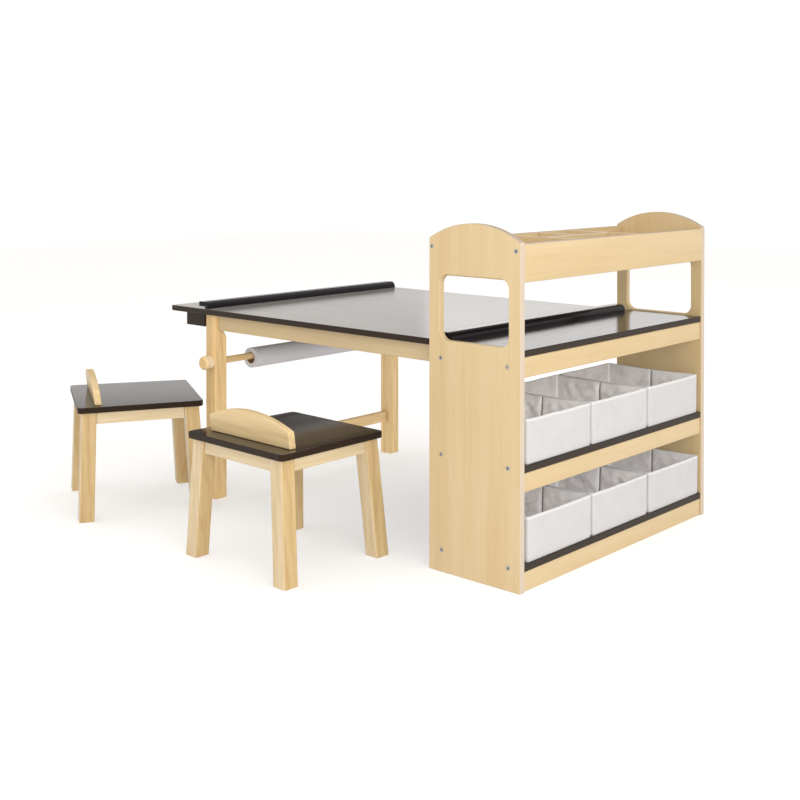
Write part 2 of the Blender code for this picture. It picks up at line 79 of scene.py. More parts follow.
# the lining is the outer cloth made brighter: painted light inside the bins
LINING_WITH_PAINTED_LIGHT = (0.730, 0.700, 0.686)
FOLD_SHADOW = (0.080, 0.072, 0.070)
PAPER_WHITE = (0.580, 0.568, 0.580)
CARD_BROWN = (0.200, 0.115, 0.055)
PLASTIC_BLACK = (0.0075, 0.0065, 0.0078)
PLASTIC_F0 = (0.40, 0.36, 0.40)
SCREW_STEEL = (0.450, 0.480, 0.500)
# painted shade in the screw heads' sockets
SCREW_SOCKET_SHADE = (0.030, 0.032, 0.035)
FLOOR_DARK = (0.60, 0.598, 0.592)
FLOOR_LIGHT = (0.61, 0.608, 0.602)
FLOOR_GLOW = (1.0, 0.995, 0.985)

# ---------------------------------------------------------------- finishes
ESPRESSO_GLOSS = (0.14, 0.19)             # roughness of the large dark boards
ESPRESSO_LEVEL = 0.58
ESPRESSO_EDGE_ROUGH = 0.45
SEAT_GLOSS = (0.07, 0.09)
SEAT_LEVEL = 0.46
TOP_SHEEN = 0.24
FLOOR_GLOW_STRENGTH = 0.42

# Grain patterns: scale across the grain and scale along it.
LAMINATE_CLOUD = (16.0, 1.0)
LAMINATE_FIBRE = (150.0, 5.0)
LAMINATE_PORES = (700.0, 22.0)
BIRCH_CLOUD = (9.0, 1.6)
BIRCH_RINGS = (1.0, 0.10)
BIRCH_FIBRE = (330.0, 9.0)
BIRCH_STREAK = (70.0, 2.2)
BIRCH_KNOTS = (11.0, 5.0)
ESPRESSO_FIBRE = (190.0, 6.0)

STOOL_YAW = {"stool_front": math.radians(-1.6), "stool_end": math.radians(-29.8)}

# Sockets of a Mix node that blends colours.
MIX_FACTOR, MIX_FIRST, MIX_SECOND, MIX_RESULT = 0, 6, 7, 2


def shade(colour, share):
    """The same colour, darker by one share on all three channels."""
    return tuple(c * share for c in colour)


def stretched(axis, across, along):
    """Scale that draws a pattern out along one axis."""
    scale = [across, across, across]
    scale[axis] = along
    return tuple(scale)


def shift_for(seed):
    """A different stretch of the same board for every piece."""
    return (0.37 * seed, 0.53 * seed, 0.71 * seed)


def fill_ramp(ramp, stops):
    """Give a colour ramp node its stops: (place, colour), from low to high."""
    elements = ramp.color_ramp.elements
    while len(elements) < len(stops):
        elements.new(0.5)
    for element, (place, colour) in zip(elements, stops):
        element.position = place
        element.color = (*colour, 1.0)


def put(name, data):
    """New object in the scene."""
    obj = bpy.data.objects.new(name, data)
    bpy.context.scene.collection.objects.link(obj)
    return obj


def mesh_from(bm, name, materials):
    """Mesh with the given materials from a finished bmesh, which is freed."""
    mesh = bpy.data.meshes.new(name)
    bm.to_mesh(mesh)
    bm.free()
    for material in materials:
        mesh.materials.append(material)
    return mesh


# ---------------------------------------------------------------- shader helpers
class Shader:
    """A node material and short ways to add to it."""

    def __init__(self, name):
        self.material = bpy.data.materials.new(name)
        self.material.use_nodes = True
        self.tree = self.material.node_tree
        self.surface = self.tree.nodes["Principled BSDF"]

    def add(self, kind, values=None, **settings):
        """New node, with the values of its inputs and its own settings."""
        made = self.tree.nodes.new(kind)
        for key, value in settings.items():
            setattr(made, key, value)
        for key, value in (values or {}).items():
            made.inputs[key].default_value = value
        return made

    def wire(self, source, target):
        self.tree.links.new(source, target)

    def coordinates(self, scale, offset=(0, 0, 0), turn=0.0):
        """Object coordinates, turned about the vertical and then scaled."""
        source = self.add("ShaderNodeTexCoord")
        turned = self.add("ShaderNodeMapping", {"Rotation": (0, 0, -turn), "Location": offset})
        scaled = self.add("ShaderNodeMapping", {"Scale": scale})
        self.wire(source.outputs["Object"], turned.inputs["Vector"])
        self.wire(turned.outputs["Vector"], scaled.inputs["Vector"])
        return scaled.outputs["Vector"]

    def even(self, scale):
        """Object coordinates with the same number of cells per metre on all axes."""
        return self.coordinates((scale,) * 3)

    def noise(self, vector, scale=1.0, detail=4.0, rough=0.55, distortion=0.0):
        made = self.add("ShaderNodeTexNoise", {"Scale": scale, "Detail": detail, "Roughness": rough,
                                               "Distortion": distortion})
        self.wire(vector, made.inputs["Vector"])
        return made.outputs["Fac"]

    def ramp(self, factor, stops):
        made = self.add("ShaderNodeValToRGB")
        fill_ramp(made, stops)
        self.wire(factor, made.inputs["Fac"])
        return made.outputs["Color"]

    def grey_ramp(self, factor, low, high, dark=0.0, light=1.0):
        return self.ramp(factor, ((low, (dark,) * 3), (high, (light,) * 3)))

    def blend(self, factor, first, second, mode="MIX"):
        """Mix two colours; each argument is a constant or another node's output."""
        made = self.add("ShaderNodeMix", data_type="RGBA", blend_type=mode)
        for value, place in ((factor, MIX_FACTOR), (first, MIX_FIRST), (second, MIX_SECOND)):
            if isinstance(value, tuple):
                made.inputs[place].default_value = (*value, 1.0)
            elif isinstance(value, float):
                made.inputs[place].default_value = value
            else:
                self.wire(value, made.inputs[place])
        return made.outputs[MIX_RESULT]

    def mask_below(self, value, limit):
        """1 where a value lies within `limit` of zero, 0 elsewhere."""
        size = self.add("ShaderNodeMath", operation="ABSOLUTE")
        less = self.add("ShaderNodeMath", {1: limit}, operation="LESS_THAN")
        self.wire(value, size.inputs[0])
        self.wire(size.outputs[0], less.inputs[0])
        return less.outputs[0]

    def mask_of_normal(self, axis, limit):
        """1 where the surface's own normal leans less than `limit` along an axis, 0 elsewhere."""
        source = self.add("ShaderNodeTexCoord")
        split = self.add("ShaderNodeSeparateXYZ")
        self.wire(source.outputs["Normal"], split.inputs[0])
        return self.mask_below(split.outputs[axis], limit)

    def mask_inside(self, low, high):
        """1 inside a box given in object coordinates, 0 outside it."""
        source = self.add("ShaderNodeTexCoord")
        middle = [-(a + b) / 2 for a, b in zip(low, high)]
        half = [2.0 / (b - a) for a, b in zip(low, high)]
        moved = self.add("ShaderNodeMapping", {"Location": middle})
        scaled = self.add("ShaderNodeMapping", {"Scale": half})
        self.wire(source.outputs["Object"], moved.inputs["Vector"])
        self.wire(moved.outputs["Vector"], scaled.inputs["Vector"])
        split = self.add("ShaderNodeSeparateXYZ")
        self.wire(scaled.outputs["Vector"], split.inputs[0])
        mask = self.mask_below(split.outputs[0], 1.0)
        for axis in (1, 2):
            both = self.add("ShaderNodeMath", operation="MULTIPLY")
            self.wire(mask, both.inputs[0])
            self.wire(self.mask_below(split.outputs[axis], 1.0), both.inputs[1])
            mask = both.outputs[0]
        return mask

    def bump(self, height, strength, distance, normal=None):
        made = self.add("ShaderNodeBump", {"Strength": strength, "Distance": distance})
        self.wire(height, made.inputs["Height"])
        if normal is not None:
            self.wire(normal, made.inputs["Normal"])
        return made.outputs["Normal"]

    def finish(self, colour, roughness, normal=None, **constants):
        """Set the surface: wire what comes from nodes, write constants onto its own sockets."""
        if isinstance(colour, tuple):
            self.surface.inputs["Base Color"].default_value = (*colour, 1.0)
        else:
            self.wire(colour, self.surface.inputs["Base Color"])
        if isinstance(roughness, float):
            self.surface.inputs["Roughness"].default_value = roughness
        else:
            self.wire(roughness, self.surface.inputs["Roughness"])
        if normal is not None:
            self.wire(normal, self.surface.inputs["Normal"])
        for key, value in constants.items():
            if isinstance(value, tuple):
                value = (*value, 1.0)
            self.surface.inputs[key.replace("_", " ")].default_value = value
        return self.material


# ---------------------------------------------------------------- wood
def laminate(name, axis, seed, face_axis=None, window=None, top_edge_shading=TOP_EDGE_SHADE):
    """Printed maple laminate: soft streaks, little contrast, satin; pale banding on the edges."""
    s = Shader(name)
    offset = shift_for(seed)
    cloud = s.noise(s.coordinates(stretched(axis, *LAMINATE_CLOUD), offset), detail=3.0)
    fibre = s.noise(s.coordinates(stretched(axis, *LAMINATE_FIBRE), offset), detail=6.0, rough=0.6)
    pores = s.noise(s.coordinates(stretched(axis, *LAMINATE_PORES), offset), detail=2.0)
    colour = s.ramp(cloud, ((0.30, MAPLE_DARK), (0.62, MAPLE_LIGHT)))
    fibre_tint = s.ramp(fibre, ((0.30, (0.935, 0.920, 0.890)), (0.58, WHITE)))
    colour = s.blend(0.9, colour, fibre_tint, "MULTIPLY")
    pore_tint = s.ramp(pores, ((0.34, (0.95, 0.935, 0.90)), (0.46, WHITE)))
    colour = s.blend(0.7, colour, pore_tint, "MULTIPLY")
    if face_axis is not None:
        speckle = s.noise(s.even(260.0), detail=2.0)
        band = s.ramp(speckle, ((0.35, shade(EDGE_BAND, 0.96)), (0.65, EDGE_BAND)))
        # upward edges get painted shade on most boards and painted light on the tray's dividers
        upward = s.blend(1.0, band, top_edge_shading, "MULTIPLY")
        band = s.blend(s.mask_of_normal(2, 0.6), upward, band)
        if window is not None:
            inner = s.ramp(speckle, ((0.35, shade(REVEAL, 0.95)), (0.65, REVEAL)))
            band = s.blend(s.mask_inside(*window), band, inner)
        colour = s.blend(s.mask_of_normal(face_axis, 0.75), colour, band)
    rough = s.grey_ramp(fibre, 0.25, 0.75, 0.36, 0.46)
    return s.finish(colour, rough, s.bump(pores, 0.10, 0.0004), Specular_IOR_Level=0.35)


def birch(name, axis, seed, turn=0.0, contrast=1.0, turned=False, light=BIRCH_LIGHT,
          side_shade=None):
    """Lacquered solid birch: growth rings seen on the flat, fibres, a few small knots."""
    s = Shader(name)
    offset = shift_for(seed)
    cloud = s.noise(s.coordinates(stretched(axis, *BIRCH_CLOUD), offset, turn), detail=2.0)
    rings = s.add("ShaderNodeTexWave", {"Scale": 26.0, "Distortion": 7.0, "Detail": 2.0,
                                        "Detail Scale": 1.4, "Detail Roughness": 0.6},
                  wave_type="BANDS", bands_direction="DIAGONAL", wave_profile="SIN")
    s.wire(s.coordinates(stretched(axis, *BIRCH_RINGS), offset, turn), rings.inputs["Vector"])
    fibre = s.noise(s.coordinates(stretched(axis, *BIRCH_FIBRE), offset, turn), detail=5.0, rough=0.65)
    streak = s.noise(s.coordinates(stretched(axis, *BIRCH_STREAK), offset, turn), detail=4.0, rough=0.6)
    middle = tuple((a + b) / 2 for a, b in zip(light, BIRCH_DARK))
    colour = s.ramp(streak, ((0.28, middle), (0.56, light)))
    ring_tint = s.ramp(rings.outputs["Fac"], ((0.05, (0.86, 0.80, 0.70)), (0.55, WHITE)))
    colour = s.blend(0.55 * contrast, colour, ring_tint, "MULTIPLY")
    fibre_tint = s.ramp(fibre, ((0.32, (0.88, 0.83, 0.74)), (0.56, WHITE)))
    colour = s.blend(0.6 * contrast, colour, fibre_tint, "MULTIPLY")
    cloud_tint = s.ramp(cloud, ((0.35, (0.90, 0.86, 0.80)), (0.62, (1.03, 1.02, 1.0))))
    colour = s.blend(0.8 * contrast, colour, cloud_tint, "MULTIPLY")
    knots = s.add("ShaderNodeTexVoronoi", {"Scale": 1.0, "Randomness": 1.0})
    s.wire(s.coordinates(stretched(axis, *BIRCH_KNOTS), offset, turn), knots.inputs["Vector"])
    knot_mask = s.grey_ramp(knots.outputs["Distance"], 0.035, 0.075, 1.0, 0.0)
    colour = s.blend(s.blend(0.6, BLACK, knot_mask), colour, BIRCH_KNOT)
    if side_shade is not None:      # painted shade: one pair of side faces is darker
        side_shaded = s.blend(1.0, colour, side_shade, "MULTIPLY")
        colour = s.blend(s.mask_of_normal(0, 0.8), side_shaded, colour)
    if turned:
        colour = s.blend(s.mask_of_normal(axis, 0.5), colour, s.blend(0.55, colour, TURNED_SIDE))
    rough = s.grey_ramp(streak, 0.2, 0.8, 0.34, 0.48)
    return s.finish(colour, rough, s.bump(fibre, 0.12, 0.0005), Specular_IOR_Level=0.4)


def espresso(name, axis, seed, turn=0.0, gloss_range=ESPRESSO_GLOSS, level=ESPRESSO_LEVEL,
             sheen=0.0):
    """Dark brown laminate with a faint grain and an even satin gloss; the edges are duller."""
    s = Shader(name)
    fibre = s.noise(s.coordinates(stretched(axis, *ESPRESSO_FIBRE), shift_for(seed), turn), detail=5.0)
    colour = s.ramp(fibre, ((0.30, ESPRESSO_DARK), (0.66, ESPRESSO_LIGHT)))
    edge = s.mask_of_normal(2, 0.75)
    edge_grain = s.ramp(fibre, ((0.3, shade(ESPRESSO_EDGE, 0.8)), (0.7, ESPRESSO_EDGE)))
    colour = s.blend(edge, colour, edge_grain)
    speckle = s.noise(s.even(900.0), detail=1.0)
    gloss = s.grey_ramp(fibre, 0.25, 0.75, *gloss_range)
    rough = s.blend(edge, gloss, (ESPRESSO_EDGE_ROUGH,) * 3)
    return s.finish(colour, rough, s.bump(speckle, 0.02, 0.0002), Specular_IOR_Level=level,
                    Specular_Tint=ESPRESSO_F0, Sheen_Weight=sheen, Sheen_Roughness=0.35,
                    Sheen_Tint=SHEEN_TONE)


# ---------------------------------------------------------------- the other materials
def black_plastic(name):
    """Extruded satin black plastic with fine drawing lines along its length."""
    s = Shader(name)
    lines = s.noise(s.coordinates((1500.0, 12.0, 1500.0)), detail=2.0)
    soft = s.noise(s.coordinates((60.0, 4.0, 60.0)), detail=2.0)
    colour = s.ramp(soft, ((0.3, shade(PLASTIC_BLACK, 0.7)), (0.7, PLASTIC_BLACK)))
    rough = s.grey_ramp(soft, 0.3, 0.7, 0.11, 0.16)
    return s.finish(colour, rough, s.bump(lines, 0.03, 0.0002), Specular_IOR_Level=0.30,
                    Specular_Tint=PLASTIC_F0)


def with_painted_crease_shade(s, colour):
    """Painted shade of creases: faint dark lines over a cloth colour, in some patches and not in
    others.
    """
    cells = s.add("ShaderNodeTexVoronoi", {"Scale": 1.0, "Randomness": 1.0},
                  feature="DISTANCE_TO_EDGE")
    warped = s.add("ShaderNodeVectorMath", operation="ADD")
    s.wire(s.coordinates((22.0, 22.0, 34.0), (0.3, 0.2, 0.5)), warped.inputs[0])
    drift = s.add("ShaderNodeTexNoise", {"Scale": 30.0, "Detail": 2.0})
    s.wire(s.even(1.0), drift.inputs["Vector"])
    s.wire(drift.outputs["Color"], warped.inputs[1])
    s.wire(warped.outputs[0], cells.inputs["Vector"])
    line = s.grey_ramp(cells.outputs["Distance"], 0.0, 0.09, 0.80, 1.0)
    patches = s.noise(s.coordinates((19.0, 19.0, 19.0), (0.9, 0.1, 0.2)), detail=2.0)
    shown = s.grey_ramp(patches, 0.47, 0.64, 0.0, 0.65)
    return s.blend(shown, colour, s.blend(1.0, colour, line, "MULTIPLY"))


def fabric(name, base, dark_share, mottle, crease_shaded=False):
    """Non-woven fabric: matted fibres, a fine dimple pattern and soft cloudy patches.

    dark_share is how dark the patches get, mottle how dark the gaps between fibres get.
    """
    s = Shader(name)
    cloud = s.noise(s.even(26.0), detail=5.0, rough=0.6)
    fibres = s.noise(s.coordinates((520.0, 520.0, 900.0)), detail=4.0, rough=0.7, distortion=0.6)
    dimples = s.add("ShaderNodeTexVoronoi", {"Scale": 620.0, "Randomness": 0.25})
    s.wire(s.even(1.0), dimples.inputs["Vector"])
    colour = s.ramp(cloud, ((0.34, shade(base, dark_share)), (0.62, base)))
    matted = s.grey_ramp(fibres, 0.30, 0.60, mottle, 1.0)
    colour = s.blend(0.8, colour, matted, "MULTIPLY")
    # painted shade in the lining's creases
    if crease_shaded:
        colour = with_painted_crease_shade(s, colour)
    height = s.bump(dimples.outputs["Distance"], 0.12, 0.0006)
    normal = s.bump(fibres, 0.22, 0.0006, height)
    crease = s.noise(s.coordinates((38.0, 38.0, 60.0), (0.3, 0.1, 0.7)), detail=3.0, distortion=1.5)
    normal = s.bump(crease, 0.16, 0.0030, normal)
    return s.finish(colour, 0.88, normal, Sheen_Weight=0.12, Sheen_Roughness=0.5)


def paper(name, axis_x, axis_z):
    """Matt drawing paper with faint rings of the wound sheet on the roll's ends."""
    s = Shader(name)
    centred = s.coordinates((1.0, 0.0, 1.0), (-axis_x, 0.0, -axis_z))
    rings = s.add("ShaderNodeTexWave", {"Scale": 420.0, "Distortion": 0.6, "Detail": 1.0},
                  wave_type="RINGS", rings_direction="Y", wave_profile="SIN")
    s.wire(centred, rings.inputs["Vector"])
    tooth = s.noise(s.even(700.0), detail=3.0)
    colour = s.ramp(tooth, ((0.3, shade(PAPER_WHITE, 0.965)), (0.6, PAPER_WHITE)))
    ring_tint = s.ramp(rings.outputs["Fac"], ((0.0, (0.90, 0.90, 0.91)), (0.4, WHITE)))
    ended = s.blend(0.9, colour, ring_tint, "MULTIPLY")
    colour = s.blend(s.mask_of_normal(1, 0.5), ended, colour)
    return s.finish(colour, 0.85, s.bump(tooth, 0.12, 0.0003))


def cardboard(name):
    """Plain brown board with fibres drawn out along the tube."""
    s = Shader(name)
    fibres = s.noise(s.coordinates((500.0, 90.0, 500.0)), detail=4.0)
    colour = s.ramp(fibres, ((0.3, shade(CARD_BROWN, 0.75)), (0.65, CARD_BROWN)))
    return s.finish(colour, 0.9, s.bump(fibres, 0.25, 0.0004))


def steel(name, base, rough_low, rough_high):
    """Finely blasted steel."""
    s = Shader(name)
    grit = s.noise(s.even(900.0), detail=3.0)
    colour = s.ramp(grit, ((0.3, shade(base, 0.85)), (0.7, base)))
    rough = s.grey_ramp(grit, 0.3, 0.7, rough_low, rough_high)
    return s.finish(colour, rough, s.bump(grit, 0.05, 0.0001), Metallic=1.0)


def floor_paint(name):
    """Pale matt floor with a glow of its own, which keeps the shadows on it light."""
    s = Shader(name)
    soft = s.noise(s.even(0.8), detail=2.0)
    colour = s.ramp(soft, ((0.3, FLOOR_DARK), (0.7, FLOOR_LIGHT)))
    return s.finish(colour, 0.8, Emission_Color=FLOOR_GLOW, Emission_Strength=FLOOR_GLOW_STRENGTH,
                    Specular_IOR_Level=0.1)


# ---------------------------------------------------------------- materials onto the solid pieces
WINDOW_INSET = 0.022     # inside the pale outer edges of a side panel
WINDOW_SIDE = 0.01       # how far the box about a window stands out of the panel's faces
WINDOW_SILL = 0.002      # below the deck's upper face
WINDOW_HEAD = 0.010      # above the tray's lower edge


def paint(node, material):
    """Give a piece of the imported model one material, in its object's own slot."""
    obj = NODES[node]
    for slot in obj.material_slots:
        slot.link = "OBJECT"
        slot.material = material


def window_box(node):
    """Box about the window cut through a side panel, in the set's own coordinates."""
    low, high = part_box(node)
    tray_low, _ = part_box("tray_front")
    _, deck_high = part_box("deck")
    return ((low.x + WINDOW_INSET, low.y - WINDOW_SIDE, deck_high.z - WINDOW_SILL),
            (high.x - WINDOW_INSET, high.y + WINDOW_SIDE, tray_low.z + WINDOW_HEAD))


def paint_boards():
    """Maple laminate boards: (piece, axis of the grain, axis square to its two large faces)."""
    boards = (
        ("side_panel_near", 2, 1), ("side_panel_far", 2, 1),
        ("tray_front", 1, 0), ("tray_back", 1, 0), ("tray_floor", 1, None),
        ("tray_divider_long", 1, 0), ("tray_divider_cross_1", 0, 1), ("tray_divider_cross_2", 0, 1),
        ("tray_divider_short", 0, 1),
        ("deck_rail_front", 1, None), ("deck_rail_back", 1, None),
        ("shelf_rail_front", 1, None), ("base_board_front", 1, None),
        ("apron_near", 0, None), ("apron_far", 0, None), ("apron_end", 1, None),
    )
    for seed, (node, axis, face_axis) in enumerate(boards):
        window = window_box(node) if node.startswith("side_panel") else None
        # painted light on the dividers' upward edges, painted shade on those of the other boards
        tone = DIVIDER_TOP_LIGHT if "divider" in node else TOP_EDGE_SHADE
        paint(node, laminate(node + "_maple", axis, seed + 1, face_axis, window, tone))


def paint_dark_boards():
    """Dark boards of the table and the shelf unit, grain along each board's length."""
    for seed, node in enumerate(("table_top", "deck", "shelf_upper", "shelf_lower", "overhang_box")):
        axis, sheen = (0, TOP_SHEEN) if node == "table_top" else (1, 0.0)
        paint(node, espresso(node + "_espresso", axis, seed + 1, sheen=sheen))


def paint_table_birch():
    """Solid wood of the table: square legs, the stretcher, the dowel and its knobs."""
    for seed, node in enumerate(("table_leg_near", "table_leg_far")):
        paint(node, birch(node + "_birch", 2, seed + 3, light=TABLE_BIRCH))
    for seed, node in enumerate(("stretcher", "roll_dowel", "knob_near", "knob_far")):
        paint(node, birch(node + "_birch", 1, seed + 9, contrast=0.7, turned=node.startswith("knob"),
                          light=TABLE_BIRCH))


def paint_stools():
    """Both stools, with the grain turned to each stool's own heading."""
    for number, (label, yaw) in enumerate(STOOL_YAW.items()):
        names = sorted(n for n in NODES if n.startswith(label + "_"))
        for index, node in enumerate(names):
            seed = 20 + 13 * number + index
            if "_leg_" in node:
                paint(node, birch(node + "_birch", 2, seed, yaw, side_shade=LEG_SIDE_SHADE))
            elif node.endswith("_seat"):
                paint(node, espresso(node + "_espresso", 0, seed, yaw, SEAT_GLOSS, SEAT_LEVEL))
            elif node.endswith("_backrest"):
                paint(node, birch(node + "_birch", 0, seed, yaw, contrast=0.55, light=BIRCH_BACKREST))
            elif node.endswith(("_left", "_right")):
                paint(node, birch(node + "_birch", 1, seed, yaw, contrast=0.45))
            else:
                paint(node, birch(node + "_birch", 0, seed, yaw, contrast=0.45))


def paint_roll():
    """The paper roll, its tube and the two guides."""
    low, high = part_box("paper_roll")
    middle = (low + high) / 2
    paint("paper_roll", paper("roll_paper", middle.x, middle.z))
    paint("paper_core", cardboard("core_card"))
    paint("paper_guide_end", black_plastic("guide_end_black"))
    paint("paper_guide_shelf", black_plastic("guide_shelf_black"))


# ---------------------------------------------------------------- fabric bins
BIN_WALL = 0.0034        # card and two layers of fabric
BIN_CORNER = 0.006       # radius of the upright corners
BINDING = 0.0048         # width of the white strip over a rear corner or a fold
FOLD_HALF = 0.0011       # half the width of the fold's dark line
FOLD_GROOVE = 0.0016     # how far the fold's line goes into the wall
FOLD_EASE = 0.007        # the lining comes in to the wall over this distance from the fold
LINING_LIFT = 0.0042     # the lining's floor above the bin's foot
FLOOR_SLACK = 0.0010     # how high that floor's cloth puckers
FOOT_TUCK = 0.0016       # the shell draws in this much at its foot
CORNER_TUCK = 0.0004     # and its corners this much below the rim

# Columns and rows of the mesh.
PLAIN_COLUMNS = 36
FOLDED_COLUMNS = 24      # on each half of a folded wall
CORNER_PLACES = (0.2, 0.4, 0.6, 0.8)
RIM_ROWS = 4
WALL_ROWS = 12
LINING_ROWS = 26
FLOOR_RINGS = 5
WELD = 1e-6

# Heights as shares of the bin's height.
FOOT_SHARES = (0.0, 0.012, 0.03, 0.07)
HEM_SHARE = 0.95         # the hem begins here, less the rounding of the rim
LINING_SHARE = 0.955     # top of the evenly spaced rows of the lining

# The four walls, counter-clockwise from above, and values for each of them in that order.
FRONT, FAR, REAR, NEAR = range(4)
RIM_SAG = (0.0006, 0.0026, 0.0010, 0.0024)
RIM_RIPPLE = 0.0012
WALL_BOW = (0.0010, -0.0012, 0.0012, -0.0010)     # outward
WALL_CLOUD = 0.0006
LINING_EASE = (0.5, 1.0, 0.35, 1.0)               # how loose the lining is

# Crumpled lining: turn of the pattern in radians, facets per metre along and across it.
COARSE_FACETS = (0.8, 20.0, 44.0)
FINE_FACETS = (-0.5, 34.0, 70.0)
FACET_DEPTH = 0.0068
SOFT_DEPTH = 0.0014

OUTER, HEM, LINING, FOLD, BINDING_CLOTH = range(5)

Station = namedtuple("Station", "kind side place")


def wall_stations(length, folded):
    """Places along one wall, from 0 to 1, closer together at the fold."""
    if not folded:
        return [i / PLAIN_COLUMNS for i in range(PLAIN_COLUMNS + 1)]
    reach = length / 2 - BINDING - FOLD_HALF
    half = [reach * i / FOLDED_COLUMNS for i in range(FOLDED_COLUMNS + 1)]
    half += [length / 2 - FOLD_HALF - BINDING / 2, length / 2 - FOLD_HALF]
    other = [length - place for place in reversed(half)]
    return [place / length for place in half + [length / 2] + other]


def is_folded(side):
    """The two side walls have a fold in the middle."""
    return side in (FAR, NEAR)


def stations(width, depth):
    """Walk round the bin: wall or corner, side and place on it, front wall first."""
    walk = []
    for side in (FRONT, FAR, REAR, NEAR):
        length = (depth if is_folded(side) else width) - 2 * BIN_CORNER
        walk += [Station("wall", side, place) for place in wall_stations(length, is_folded(side))]
        walk += [Station("corner", side, place) for place in CORNER_PLACES]
    return walk


def plan_point(station, low, high, inset):
    """Point and outward direction of a station on the bin's rounded outline, drawn in by inset."""
    x0, y0, x1, y1 = low.x + inset, low.y + inset, high.x - inset, high.y - inset
    corner = BIN_CORNER - inset
    side = station.side
    if station.kind == "corner":
        centres = ((x1 - corner, y1 - corner), (x0 + corner, y1 - corner),
                   (x0 + corner, y0 + corner), (x1 - corner, y0 + corner))
        angle = math.radians(90 * side + 90 * station.place)
        out = Vector((math.cos(angle), math.sin(angle), 0))
        return Vector((*centres[side], 0)) + out * corner, out
    starts = ((x1, y0 + corner), (x1 - corner, y1), (x0, y1 - corner), (x0 + corner, y0))
    ends = ((x1, y1 - corner), (x0 + corner, y1), (x0, y0 + corner), (x1 - corner, y0))
    start = Vector((*starts[side], 0))
    end = Vector((*ends[side], 0))
    angle = math.radians(90 * side)
    return start.lerp(end, station.place), Vector((math.cos(angle), math.sin(angle), 0))


def crumple(u, v, seed, facets):
    """Height of crumpled cloth, from 0 up: slack facets that meet in sharp creases."""
    angle, along, across = facets
    a = u * math.cos(angle) + v * math.sin(angle)
    b = v * math.cos(angle) - u * math.sin(angle)
    drift = noise.noise_vector(Vector((u * 14.0, v * 14.0, seed + 3.0))) * 0.45
    near, _ = noise.voronoi(Vector((a * along, b * across, seed)) + drift)
    return near[0]


